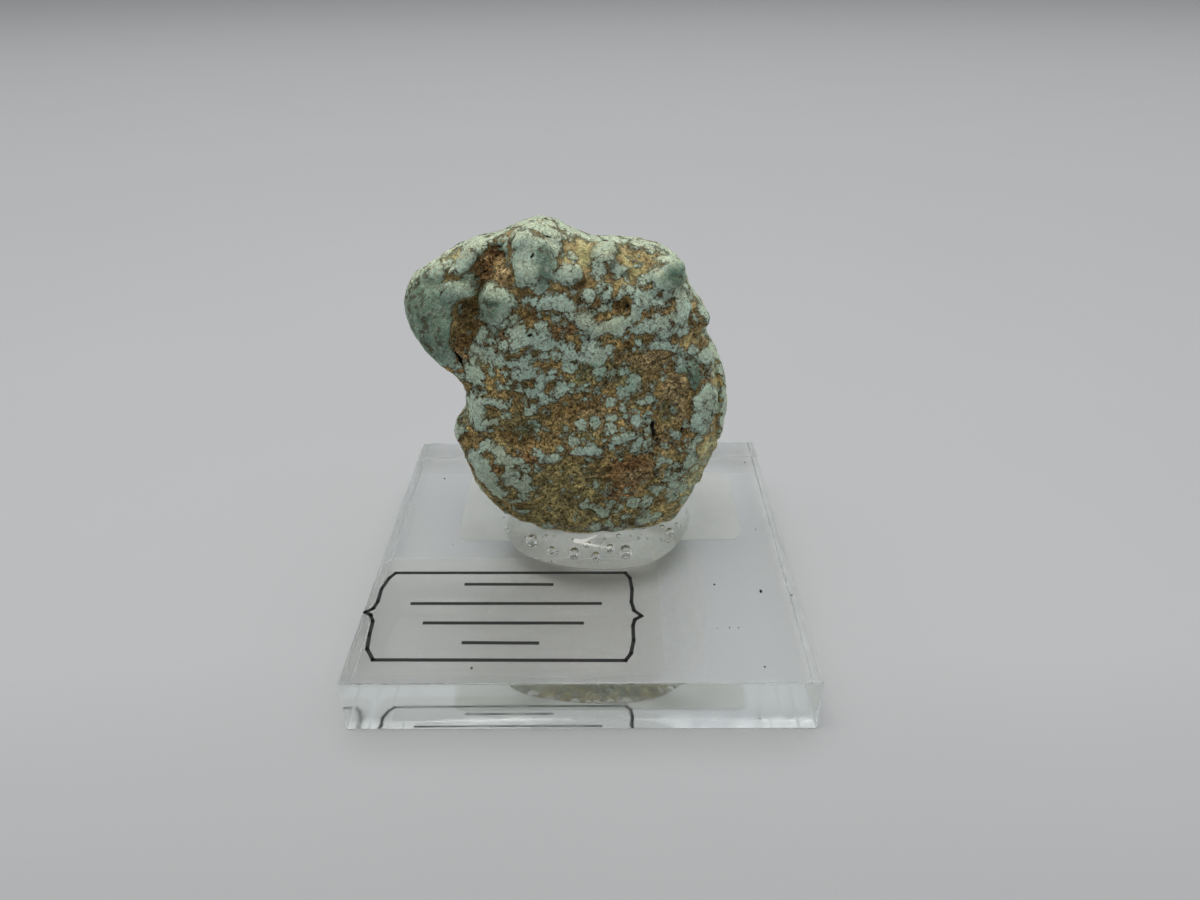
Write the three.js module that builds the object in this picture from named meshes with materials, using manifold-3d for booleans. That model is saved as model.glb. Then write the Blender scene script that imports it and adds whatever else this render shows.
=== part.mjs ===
// A raw turquoise nugget glued to a clear acrylic display block, with a clear label on the
// block's top and a white paper label on its underside.
//
// Millimetres, +Z up. The origin is the centre of the block's underside. The show face of the
// nugget looks along -Y.

import * as THREE from 'three';
import { mergeVertices } from 'three/addons/utils/BufferGeometryUtils.js';
import Module from 'manifold-3d';

const wasm = await Module();
wasm.setup();

// ---- driving dimensions -------------------------------------------------------------------

// The acrylic block, a cut and polished square of 10 mm sheet.
const BLOCK_SIDE = 75;
const BLOCK_HEIGHT = 10;
const BLOCK_CHAMFER = 0.5;

// The labels. The clear one lies on the block's top, near its front edge. The paper one is let
// into the underside by its own thickness, so that the block sits flat.
const LABEL_THICKNESS = 0.15;
const CLEAR_LABEL = { width: 50, depth: 30, corner: 2.5, x: -11.8, y: -20.9 };
const PAPER_LABEL = { width: 57, depth: 25, corner: 3, x: 2.8, y: 18.7 };
const LABEL_GAP = 0.3;
const RECESS_GAP = 0.05;

// A cut starts this far outside the face that it opens.
const CUT_PAST = 1;

// The bead of clear glue that holds the nugget, an oval mound.
const GLUE = { width: 36.2, depth: 29, height: 4.6, x: 2.7, y: 5.4 };
const GLUE_SIDES = 48;
const GLUE_RINGS = 10;
const GLUE_GAP = 0.3;

// The nugget. Its outline, seen from the front, runs clockwise from the top, as X and Z. Every
// ray from NUGGET_CENTRE crosses it once.
const NUGGET_CENTRE = { x: -1.5, y: 6.5, z: 40.5 };
const NUGGET_OUTLINE = [
  [-7, 69.5], [-2, 67.6], [2.5, 65.6], [8, 65.4], [14, 63.8], [17.4, 60.8], [18.8, 57.2],
  [21.7, 53.2], [21.5, 49], [24.4, 45], [25.8, 39.5], [26, 33.5], [25, 28.2], [23.2, 23.8],
  [20.2, 16.6], [16, 12.2], [10, 11], [3, 10.8], [-4, 10.9], [-10, 12], [-16, 15.6],
  [-19.4, 19.8], [-21.6, 26], [-23.3, 30.6], [-22.8, 34.4], [-20.6, 37.2], [-22.2, 41.2],
  [-25.4, 44.6], [-28.8, 49.2], [-30.2, 54.4], [-29, 59.4], [-24.8, 62.2], [-19.5, 65.2],
  [-13.5, 67],
];
const FRONT_DEPTH = 9.5;
const BACK_DEPTH = 12;
const BOXINESS = 2.7;
const NUGGET_SIDES = 64;
const NUGGET_RINGS = 32;

// How far the rim leans back, in mm of Y for each mm above and to the right of the centre.
const LEAN_UP = 0.06;
const LEAN_RIGHT = 0.05;

// Lobes (positive) and hollows (negative) of the nugget: where each one is, how far it reaches
// and how far it lifts or sinks the surface along Y. Side -1 is the front, 1 the back.
const RELIEF = [
  { name: 'head lobe', side: -1, x: -24, z: 54, reachX: 6, reachZ: 8, lift: 2.6 },
  { name: 'valley behind the head', side: -1, x: -17, z: 52, reachX: 3.4, reachZ: 9, lift: -3.2 },
  { name: 'top lobe', side: -1, x: -6, z: 60, reachX: 5, reachZ: 7, lift: 2.2 },
  { name: 'knob beside the valley', side: -1, x: -12.5, z: 51.5, reachX: 3.4, reachZ: 3.6, lift: 1.6 },
  { name: 'knob under the crest', side: -1, x: 4.5, z: 59.5, reachX: 3.5, reachZ: 3.5, lift: 1.4 },
  { name: 'right shoulder', side: -1, x: 13, z: 54.5, reachX: 4.5, reachZ: 5, lift: 1.8 },
  { name: 'belly', side: -1, x: 2, z: 33, reachX: 13, reachZ: 9, lift: 1.6 },
  { name: 'diagonal fold', side: -1, x: -12, z: 34.5, reachX: 9, reachZ: 2.6, lift: -1.4 },
  { name: 'right flank', side: -1, x: 20, z: 34, reachX: 4, reachZ: 8, lift: 1.5 },
  { name: 'back boss', side: 1, x: 8, z: 46, reachX: 10, reachZ: 9, lift: 2 },
  { name: 'back hollow', side: 1, x: -9, z: 38, reachX: 7, reachZ: 8, lift: -2.4 },
  { name: 'back heel', side: 1, x: -3, z: 22, reachX: 11, reachZ: 7, lift: 1.6 },
];

// ---- solids and booleans ------------------------------------------------------------------

function toManifold(geometry) {
  const bare = geometry.clone();
  bare.deleteAttribute('normal');
  bare.deleteAttribute('uv');
  const merged = mergeVertices(bare);
  const mesh = new wasm.Mesh({
    numProp: 3,
    vertProperties: new Float32Array(merged.attributes.position.array),
    triVerts: new Uint32Array(merged.index.array),
  });
  return new wasm.Manifold(mesh);
}

function toGeometry(manifold) {
  const mesh = manifold.getMesh();
  const geometry = new THREE.BufferGeometry();
  geometry.setAttribute('position', new THREE.BufferAttribute(mesh.vertProperties, 3));
  geometry.setIndex(new THREE.BufferAttribute(mesh.triVerts, 1));
  geometry.computeVertexNormals();
  return geometry;
}

function subtract(geometry, ...cutters) {
  return toGeometry(
    cutters.reduce((solid, cutter) => solid.subtract(toManifold(cutter)), toManifold(geometry)),
  );
}

// ---- the block and its labels -------------------------------------------------------------

function roundedRectangle(width, depth, corner) {
  const x = width / 2 - corner;
  const y = depth / 2 - corner;
  const shape = new THREE.Shape();
  shape.absarc(x, y, corner, 0, Math.PI / 2);
  shape.absarc(-x, y, corner, Math.PI / 2, Math.PI);
  shape.absarc(-x, -y, corner, Math.PI, Math.PI * 1.5);
  shape.absarc(x, -y, corner, Math.PI * 1.5, Math.PI * 2);
  return shape;
}

// A flat plate of a label's outline, grown by `extra` all round, with its lower face at `bottom`.
function labelPlate(label, bottom, thickness, extra = 0) {
  const outline = roundedRectangle(
    label.width + 2 * extra,
    label.depth + 2 * extra,
    label.corner + extra,
  );
  const plate = new THREE.ExtrudeGeometry(outline, {
    depth: thickness,
    bevelEnabled: false,
    curveSegments: 6,
  });
  return plate.translate(label.x, label.y, bottom);
}

function blockGeometry() {
  const half = BLOCK_SIDE / 2 - BLOCK_CHAMFER;
  const square = new THREE.Shape([
    new THREE.Vector2(-half, -half),
    new THREE.Vector2(half, -half),
    new THREE.Vector2(half, half),
    new THREE.Vector2(-half, half),
  ]);
  const block = new THREE.ExtrudeGeometry(square, {
    depth: BLOCK_HEIGHT - 2 * BLOCK_CHAMFER,
    bevelThickness: BLOCK_CHAMFER,
    bevelSize: BLOCK_CHAMFER,
    bevelSegments: 1,
  });
  block.translate(0, 0, BLOCK_CHAMFER);

  const recess = labelPlate(PAPER_LABEL, -CUT_PAST, CUT_PAST + LABEL_THICKNESS + RECESS_GAP, LABEL_GAP);
  return subtract(block, recess);
}

// ---- the nugget ---------------------------------------------------------------------------

// The outline as its distance from the centre at evenly spaced angles.
function outlineRadii(steps) {
  const points = NUGGET_OUTLINE.map(
    ([x, z]) => new THREE.Vector2(x - NUGGET_CENTRE.x, z - NUGGET_CENTRE.z),
  );
  const first = points[0];
  const curve = new THREE.SplineCurve([points.at(-1), ...points, first, points[1]]);
  const spans = points.length + 2;
  const samples = [];
  for (let i = 0; i < points.length * 12; i += 1) {
    const p = curve.getPoint((1 + i / 12) / spans);
    samples.push({ angle: Math.atan2(p.y, p.x), radius: p.length() });
  }
  samples.sort((a, b) => a.angle - b.angle);
  const turn = Math.PI * 2;
  const before = samples.at(-1);
  const after = samples[0];
  const ring = [
    { angle: before.angle - turn, radius: before.radius },
    ...samples,
    { angle: after.angle + turn, radius: after.radius },
  ];
  const radii = [];
  let k = 0;
  for (let i = 0; i < steps; i += 1) {
    const angle = -Math.PI + (turn * i) / steps;
    while (ring[k + 1].angle < angle) k += 1;
    const share = (angle - ring[k].angle) / (ring[k + 1].angle - ring[k].angle);
    radii.push(THREE.MathUtils.lerp(ring[k].radius, ring[k + 1].radius, share));
  }
  return radii;
}

const RADIUS_STEPS = 720;
const RADII = outlineRadii(RADIUS_STEPS);

function outlineRadius(angle) {
  const place = ((angle + Math.PI) / (Math.PI * 2)) * RADIUS_STEPS;
  const low = Math.floor(place) % RADIUS_STEPS;
  const high = (low + 1) % RADIUS_STEPS;
  return THREE.MathUtils.lerp(RADII[low], RADII[high], place - Math.floor(place));
}

// The point of the plain body, before its relief, that lies in the unit direction `d`.
function bodyPoint(d) {
  const across = Math.hypot(d.x, d.z);
  const angle = Math.atan2(d.z, d.x);
  const radius = outlineRadius(angle) * across ** (2 / BOXINESS);
  const depth = d.y < 0 ? FRONT_DEPTH : BACK_DEPTH;
  const x = radius * Math.cos(angle);
  const z = radius * Math.sin(angle);
  const y = Math.sign(d.y) * depth * Math.abs(d.y) ** (2 / BOXINESS);
  return new THREE.Vector3(
    NUGGET_CENTRE.x + x,
    NUGGET_CENTRE.y + y + LEAN_UP * z + LEAN_RIGHT * x,
    NUGGET_CENTRE.z + z,
  );
}

// How far the relief moves a point along Y, where the body's own direction there is `d`.
function reliefAt(point, d) {
  let shift = 0;
  for (const form of RELIEF) {
    const u = (point.x - form.x) / form.reachX;
    const v = (point.z - form.z) / form.reachZ;
    const share = THREE.MathUtils.smoothstep(d.y * form.side, 0, 0.6);
    shift += form.side * form.lift * share * Math.exp(-(u * u + v * v));
  }
  return shift;
}

// The nugget's surface, grown outward by `extra`.
function nuggetGeometry(extra = 0) {
  const sphere = new THREE.SphereGeometry(1, NUGGET_SIDES, NUGGET_RINGS);
  sphere.deleteAttribute('normal');
  sphere.deleteAttribute('uv');
  const geometry = mergeVertices(sphere);
  const { position } = geometry.attributes;
  const d = new THREE.Vector3();
  for (let i = 0; i < position.count; i += 1) {
    d.fromBufferAttribute(position, i).normalize();
    const p = bodyPoint(d);
    position.setXYZ(i, p.x, p.y + reliefAt(p, d), p.z);
  }
  geometry.computeVertexNormals();
  const normal = geometry.attributes.normal;
  for (let i = 0; i < position.count; i += 1) {
    const p = new THREE.Vector3().fromBufferAttribute(position, i);
    p.addScaledVector(new THREE.Vector3().fromBufferAttribute(normal, i), extra);
    position.setXYZ(i, p.x, p.y, p.z);
  }
  return geometry;
}

// ---- the glue -----------------------------------------------------------------------------

// A mound on the block's top, which laps over the clear label's back edge. The nugget's seat and
// the label's place are cut out of it.
function glueGeometry() {
  const profile = [new THREE.Vector2(0, 0)];
  for (let i = 0; i <= GLUE_RINGS; i += 1) {
    const angle = (i / GLUE_RINGS) * (Math.PI / 2);
    const r = Math.cos(angle) ** 0.8;
    const z = Math.sin(angle) ** 0.8;
    profile.push(new THREE.Vector2(i === GLUE_RINGS ? 0 : r, z));
  }
  const mound = new THREE.LatheGeometry(profile, GLUE_SIDES);
  mound.rotateX(Math.PI / 2);
  mound.scale(GLUE.width / 2, GLUE.depth / 2, GLUE.height);
  mound.translate(GLUE.x, GLUE.y, BLOCK_HEIGHT);
  const lapped = labelPlate(
    CLEAR_LABEL,
    BLOCK_HEIGHT - CUT_PAST,
    CUT_PAST + LABEL_THICKNESS + GLUE_GAP,
    GLUE_GAP,
  );
  return subtract(mound, nuggetGeometry(GLUE_GAP), lapped);
}

// ---- the assembly -------------------------------------------------------------------------

const group = new THREE.Group();

function addMesh(name, geometry, finish) {
  const mesh = new THREE.Mesh(geometry, new THREE.MeshStandardMaterial({ metalness: 0, ...finish }));
  mesh.name = name;
  group.add(mesh);
}

addMesh('acrylic_block', blockGeometry(), {
  color: 0xe9eeee,
  roughness: 0.05,
  transparent: true,
  opacity: 0.35,
});

addMesh('turquoise_nugget', nuggetGeometry(), { color: 0x7f9a8c, roughness: 0.75 });

addMesh('glue_bead', glueGeometry(), {
  color: 0xf2f1ec,
  roughness: 0.08,
  transparent: true,
  opacity: 0.4,
});

addMesh('clear_label', labelPlate(CLEAR_LABEL, BLOCK_HEIGHT, LABEL_THICKNESS), {
  color: 0xdfe3e2,
  roughness: 0.2,
  transparent: true,
  opacity: 0.3,
});

addMesh('paper_label', labelPlate(PAPER_LABEL, 0, LABEL_THICKNESS), {
  color: 0xe4e4e0,
  roughness: 0.8,
});

export default group;
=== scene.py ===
"""Looks of a raw turquoise nugget glued to its clear acrylic display block.

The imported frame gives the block, the nugget, the glue and the two labels. Lengths here are in
millimetres until a mesh is made. X is right, Y away from the viewer, Z up.
"""

import math
from itertools import product

import bmesh
import bpy
import numpy as np
from mathutils import Matrix, Vector


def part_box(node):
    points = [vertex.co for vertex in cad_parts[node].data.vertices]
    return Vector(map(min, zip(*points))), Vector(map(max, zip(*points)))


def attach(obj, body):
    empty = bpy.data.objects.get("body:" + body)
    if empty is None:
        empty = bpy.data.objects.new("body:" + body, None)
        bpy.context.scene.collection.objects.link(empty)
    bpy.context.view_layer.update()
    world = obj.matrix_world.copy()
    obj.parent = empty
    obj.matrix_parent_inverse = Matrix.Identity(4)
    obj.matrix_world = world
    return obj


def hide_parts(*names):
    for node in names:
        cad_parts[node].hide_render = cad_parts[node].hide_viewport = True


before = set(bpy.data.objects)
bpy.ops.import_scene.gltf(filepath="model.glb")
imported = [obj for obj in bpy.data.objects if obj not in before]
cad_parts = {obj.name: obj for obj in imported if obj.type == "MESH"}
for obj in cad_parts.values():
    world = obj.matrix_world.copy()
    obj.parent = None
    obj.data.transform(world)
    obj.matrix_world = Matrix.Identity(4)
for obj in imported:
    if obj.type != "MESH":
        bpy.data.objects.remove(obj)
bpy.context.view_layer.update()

MM = 0.001
SEED = 7


def box_mm(node):
    """Lowest and highest corner of a CAD node, in millimetres."""
    low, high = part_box(node)
    return np.array(low) / MM, np.array(high) / MM


BLOCK_LOW, BLOCK_HIGH = box_mm("acrylic_block")
BLOCK_TOP = BLOCK_HIGH[2]
BLOCK_SIDE = BLOCK_HIGH[0] - BLOCK_LOW[0]


# ---- camera -------------------------------------------------------------------------------

CAMERA_PLACE = (0.056, -1.816, 1.318)
CAMERA_PITCH = math.radians(30.15)
CAMERA_YAW = math.radians(-0.48)
CAMERA_ROLL = math.radians(-0.5)
CAMERA_LENS = 26.34


def make_camera():
    """A phone-like wide lens looking down on the show face. Its place is in block sides from the
    centre of the block's top."""
    forward = Vector((
        math.sin(CAMERA_YAW) * math.cos(CAMERA_PITCH),
        math.cos(CAMERA_YAW) * math.cos(CAMERA_PITCH),
        -math.sin(CAMERA_PITCH),
    ))
    level = Vector((math.cos(CAMERA_YAW), -math.sin(CAMERA_YAW), 0))
    upright = level.cross(forward)
    right = level * math.cos(CAMERA_ROLL) + upright * math.sin(CAMERA_ROLL)
    up = upright * math.cos(CAMERA_ROLL) - level * math.sin(CAMERA_ROLL)
    place = Vector(CAMERA_PLACE) * BLOCK_SIDE + Vector((0, 0, BLOCK_TOP))
    data = bpy.data.cameras.new("camera")
    data.lens = CAMERA_LENS
    data.sensor_width = 36
    data.clip_start = 0.005
    camera = bpy.data.objects.new("camera", data)
    turn = Matrix((right, up, -forward)).transposed().to_4x4()
    camera.matrix_world = Matrix.Translation(place * MM) @ turn
    bpy.context.scene.collection.objects.link(camera)
    bpy.context.scene.camera = camera


# ---- meshes -------------------------------------------------------------------------------


def make_mesh(name, vertices, faces, smooth=True):
    """A mesh object from vertices in millimetres."""
    mesh = bpy.data.meshes.new(name)
    faces = faces.tolist() if isinstance(faces, np.ndarray) else faces
    mesh.from_pydata((np.asarray(vertices, float) * MM).tolist(), [], faces)
    mesh.update()
    if smooth:
        mesh.polygons.foreach_set("use_smooth", [True] * len(mesh.polygons))
    piece = bpy.data.objects.new(name, mesh)
    bpy.context.scene.collection.objects.link(piece)
    return piece


def add_field(piece, name, values):
    """A number or a colour for each vertex, which the materials read."""
    values = np.asarray(values, np.float32)
    if values.ndim == 1:
        piece.data.attributes.new(name, "FLOAT", "POINT").data.foreach_set("value", values)
    else:
        rgba = np.insert(values, 3, 1, axis=1).ravel()
        piece.data.attributes.new(name, "FLOAT_COLOR", "POINT").data.foreach_set("color", rgba)


def finish_piece(piece, material, slot, *nodes):
    """Rides on the one body, takes its material, and stands for its CAD nodes. Its slot argument is not
    used.
    """
    piece.data.materials.append(material)
    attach(piece, "root")
    if nodes:
        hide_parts(*nodes)


# ---- materials ----------------------------------------------------------------------------


class Surface:
    """A material's node tree, built one node at a time."""

    def __init__(self, name):
        self.material = bpy.data.materials.new(name)
        self.material.use_nodes = True
        self.tree = self.material.node_tree
        self.shader = self.tree.nodes["Principled BSDF"]
        self.output = self.tree.nodes["Material Output"]
        place = self.tree.nodes.new("ShaderNodeTexCoord")
        self.place = place.outputs["Object"]

    def node(self, kind, inputs=(), **settings):
        """A node with its settings and its inputs, each a value or another node's output."""
        made = self.tree.nodes.new("ShaderNode" + kind)
        for key, value in settings.items():
            setattr(made, key, value)
        for key, value in dict(inputs).items():
            self.put(made.inputs[key], value)
        return made

    def put(self, socket, value):
        if isinstance(value, bpy.types.NodeSocket):
            self.tree.links.new(value, socket)
        else:
            socket.default_value = value

    def set(self, **inputs):
        """Sets the shader's own sockets; a name's underscores stand for spaces."""
        for key, value in inputs.items():
            self.put(self.shader.inputs[key.replace("_", " ")], value)

    def noise(self, size, detail=3.0, roughness=0.55, output="Fac"):
        """Noise with blobs about `size` mm across, from 0 to 1."""
        return self.node("TexNoise", {
            "Vector": self.place, "Scale": 1 / (size * MM), "Detail": detail, "Roughness": roughness,
        }).outputs[output]

    def warped(self, size, reach):
        """The place shifted by noise of that blob size, up to about `reach` mm."""
        push = self.noise(size, 3.0, 0.6, "Color")
        middle = self.node("VectorMath", {0: push, 1: (0.5, 0.5, 0.5)}, operation="SUBTRACT")
        scaled = self.node("VectorMath", {0: middle.outputs[0], "Scale": 4 * reach * MM},
                           operation="SCALE")
        moved = self.node("VectorMath", {0: self.place, 1: scaled.outputs[0]}, operation="ADD")
        return moved.outputs[0]

    def flakes(self, size, place):
        """Cells about `size` mm across: a random number for each, mm to its edge and centre."""
        inputs = {"Vector": place, "Scale": 1 / (size * MM)}
        centre = self.node("TexVoronoi", inputs)
        edge = self.node("TexVoronoi", inputs, feature="DISTANCE_TO_EDGE")
        chance = self.node("SeparateColor", {"Color": centre.outputs["Color"]}).outputs["Red"]
        to_edge = self.times(edge.outputs["Distance"], size)
        return chance, to_edge, self.times(centre.outputs["Distance"], size)

    def spread(self, value, low, high, to_low=0.0, to_high=1.0):
        """Maps low..high to to_low..to_high, clamped."""
        return self.node("MapRange", {
            "Value": value, "From Min": low, "From Max": high, "To Min": to_low, "To Max": to_high,
        }).outputs["Result"]

    def maths(self, operation, a, b=0.0):
        made = self.node("Math", operation=operation)
        self.put(made.inputs[0], a)
        self.put(made.inputs[1], b)
        return made.outputs[0]

    def times(self, a, b):
        return self.maths("MULTIPLY", a, b)

    def plus(self, a, b):
        return self.maths("ADD", a, b)

    def mix(self, share, a, b, blend="MIX"):
        """Colour a where share is 0, b where it is 1."""
        made = self.node("Mix", data_type="RGBA", blend_type=blend)
        self.put(made.inputs[0], share)
        self.put(made.inputs[6], a)
        self.put(made.inputs[7], b)
        return made.outputs[2]

    def attribute(self, name, output="Fac"):
        """A value or a colour that the mesh carries at its vertices."""
        return self.node("Attribute", attribute_name=name).outputs[output]

    def toned(self, colour, tone):
        """The colour made lighter or darker by a factor."""
        grey = self.node("CombineColor", {0: tone, 1: tone, 2: tone}).outputs[0]
        return self.mix(1.0, colour, grey, "MULTIPLY")

    def bump(self, height, depth, strength=1.0, under=None):
        """Bump from a height of 0 to 1 that stands for `depth` mm."""
        made = self.node("Bump", {"Height": height, "Distance": depth * MM, "Strength": strength})
        if under is not None:
            self.put(made.inputs["Normal"], under)
        return made.outputs["Normal"]


def rgb(r, g, b):
    return (r, g, b, 1.0)


# ---- noise for shapes ---------------------------------------------------------------------


def smoothstep(low, high, x):
    """0 below `low`, 1 above `high`, with a smooth rise between."""
    t = np.clip((x - low) / (high - low), 0, 1)
    return t * t * (3 - 2 * t)


def perlin(points, size, seed):
    """Smooth noise, about -1 to 1, with blobs `size` mm across."""
    rng = np.random.default_rng(SEED * 1000 + seed)
    slopes = rng.normal(size=(256, 3))
    slopes /= np.linalg.norm(slopes, axis=1)[:, None]
    order = np.tile(rng.permutation(256), 3)
    q = points / size + rng.uniform(20, 60, 3)
    cell = np.floor(q).astype(int)
    part = q - cell
    fade = part**3 * (part * (part * 6 - 15) + 10)
    total = np.zeros(len(points))
    for corner in product((0, 1), repeat=3):
        i, j, k = ((cell + corner) & 255).T
        slope = slopes[order[order[order[i] + j] + k]]
        weight = np.where(corner, fade, 1 - fade).prod(axis=1)
        total += weight * np.einsum("ij,ij->i", slope, part - corner)
    return total * 1.5


def fractal(points, size, layers, seed, gain=0.5):
    """Noise with finer and fainter layers over the first."""
    total = np.zeros(len(points))
    share = 1.0
    for layer in range(layers):
        total += share * perlin(points, size / 2**layer, seed + layer)
        share *= gain
    return total


def cells(points, size, seed):
    """Distance to the nearest of scattered cell centres, in cell sizes, and its random number."""
    rng = np.random.default_rng(SEED * 1000 + seed)
    order = np.tile(rng.permutation(256), 3)
    jitter = rng.uniform(0.05, 0.95, (256, 3))
    chance = rng.uniform(0, 1, 256)
    q = points / size + rng.uniform(20, 60, 3)
    base = np.floor(q).astype(int)
    near = np.full(len(points), 9.0)
    pick = np.zeros(len(points))
    for step in product((-1, 0, 1), repeat=3):
        cell = base + step
        i, j, k = (cell & 255).T
        key = order[order[order[i] + j] + k]
        gap = np.linalg.norm(cell + jitter[key] - q, axis=1)
        pick = np.where(gap < near, chance[key], pick)
        near = np.minimum(near, gap)
    return near, pick


# ---- the nugget's shape -------------------------------------------------------------------

# The plain body follows the CAD solid's outline (X, Z, clockwise from the top), depths and lean.
NUGGET_CENTRE = np.array([-1.5, 6.5, 40.5])
NUGGET_OUTLINE = [
    (-7, 69.3), (-2, 67.5), (2.5, 65.6), (8, 65.4), (14, 63.8), (17.4, 60.8), (18.8, 57.2),
    (21.6, 53.2), (21.9, 49.2), (24.2, 45), (25.8, 39.5), (26, 33.5), (25, 28.2), (23.2, 23.8),
    (20.2, 16.6), (16, 12.2), (10, 11), (3, 10.8), (-4, 10.9), (-10, 12), (-16, 15.6),
    (-19.4, 19.8), (-21.6, 26), (-23, 30.6), (-22.5, 34.4), (-20.4, 37.2), (-21.6, 41.6),
    (-24.4, 45.6), (-27.9, 50), (-29.8, 54.8), (-28.9, 59.4), (-24.8, 62.4), (-19.5, 65.4),
    (-13.5, 67),
]
FRONT_DEPTH = 9.5
BACK_DEPTH = 12
BOXINESS = 2.7
LEAN_UP = 0.06
LEAN_RIGHT = 0.05
# Its mesh is laid out on a box of these proportions, with so many quads along its faces and rim.
BODY_HALVES = (24, 9, 25)
FACE_QUADS = 162
RIM_QUADS = 67

# Broad lobes and hollows, as in the CAD solid: side (-1 is the front), x, z, reach in x and z, and
# lift along Y.
BROAD_FORMS = [
    (-1, -24, 54, 6, 8, 2.6), (-1, -17, 52, 3.4, 9, -3.2), (-1, -6, 60, 5, 7, 2.2),
    (-1, -12.5, 51.5, 3.4, 3.6, 1.6), (-1, 4.5, 59.5, 3.5, 3.5, 1.4), (-1, 13, 54.5, 4.5, 5, 1.8),
    (-1, 2, 33, 13, 9, 1.6), (-1, -12, 34.5, 9, 2.6, -1.4), (-1, 20, 34, 4, 8, 1.5),
    (1, 8, 46, 10, 9, 2), (1, -9, 38, 7, 8, -2.4), (1, -3, 22, 11, 7, 1.6),
    (-1, 2, 14, 11, 5, 3),
]

# Knobs and raised patches of the front: x, z, half width, half height, turn in degrees, lift as a
# share of KNOB_RISE.
KNOB_RISE = 1.4
KNOBS = [
    (-13.6, 57.2, 3.3, 3, 0, 1.5), (-7.4, 64.2, 3.4, 4.2, 0, 1.3), (-8.8, 67.2, 2.2, 1.8, 0, 0.7),
    (4.1, 64.3, 2.4, 2.5, 0, 1.3), (-1.6, 62.4, 2.1, 1.4, 0, 0.6), (14.2, 60.8, 3.1, 2.6, 0, 1.4),
    (-18.4, 63.7, 3.6, 1.2, 42, 1.1), (-24.5, 62.2, 3.2, 1.4, 10, 0.7), (16.2, 55.2, 2.6, 2.8, 0, 0.6),
    (20.5, 54.2, 2.2, 3.2, 0, 0.8), (11.9, 43.3, 1.1, 1.1, 0, 0.6), (21.2, 38.2, 2.6, 5, -8, 0.9),
    (18.6, 43.6, 2.4, 2.4, 0, 0.6), (-18.2, 38.5, 2.2, 3.6, 0, 0.6), (-22.4, 34, 2.2, 3.6, 0, 0.4),
    (-17.6, 26.6, 3.6, 4.4, 20, 0.6), (2.5, 53.9, 4.6, 1.9, 0, 0.4), (5.8, 54.2, 2, 1.8, 0, 0.3),
    (7.8, 35, 3, 1.8, 10, 0.5), (-12, 22.5, 4, 3, 0, 0.4), (0.6, 49.4, 3.4, 2.2, 0, 0.35),
    (9.4, 58.2, 2.4, 2.6, 0, 0.4), (21.6, 46.6, 2, 1.6, 0, 0.4), (-13.7, 57.5, 1.1, 0.9, 0, -0.5),
    (-6.2, 65.6, 1.7, 1.4, 0, 0.4), (-8.6, 62.4, 1.6, 1.4, 0, 0.4), (-25.6, 58, 2.6, 2.4, 0, 0.4),
    (-22.6, 53, 1.6, 3, -10, 0.5), (14.8, 61.6, 1.4, 0.9, -20, 0.35), (-19.8, 59.5, 2.4, 1.5, -18, 1),
]

# Valleys and folds of the front: a line of (x, z) points, half width, depth.
FOLDS = [
    ([(-13.6, 64), (-15.6, 61), (-16.8, 58), (-18.8, 55), (-20.4, 48)], 1.8, 2.4),
    ([(-16.8, 55.2), (-14.6, 53.2), (-11.4, 53.4), (-9.6, 56), (-10.2, 59.4)], 1, 1.1),
    ([(-12.2, 64.6), (-11.4, 61.4)], 1.8, 0.9),
    ([(-4, 61), (-2.6, 64.4), (-1.4, 67)], 1.2, 0.8),
    ([(0.6, 60.9), (1.2, 64), (6, 61.2), (9, 61.6)], 0.9, 0.7),
    ([(7.4, 57.2), (5.9, 57.3)], 1.2, 0.9),
    ([(-9.6, 56.6), (-5.6, 56.2), (-3.6, 55)], 0.9, 0.6),
    ([(-20.4, 41.8), (-14, 42), (-8, 42.6), (-3, 44.4)], 0.6, 0.5),
    ([(-7.5, 39.4), (-3, 40.6), (3, 43)], 0.7, 0.55),
    ([(-19.6, 33.4), (-15, 33.4), (-9.5, 34), (-6.5, 37.4)], 0.9, 0.7),
    ([(4.6, 30.2), (8, 30), (12, 30.6), (16.5, 31.6)], 0.9, 0.6),
    ([(14.8, 39.2), (14.8, 36.2)], 1, 0.9),
    ([(15.8, 46.6), (17.2, 42), (18.4, 38.6), (17.8, 34)], 0.8, 0.5),
    ([(21.4, 50.6), (19.4, 50), (17, 50.6)], 1, 0.6),
    ([(-26.6, 59), (-25.4, 55.6), (-25.2, 52), (-24.4, 49.6)], 1.3, 0.8),
    ([(22.4, 48), (23.2, 45.6), (24, 42.4), (24.5, 38), (24.2, 33)], 0.5, 1),
]
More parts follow.
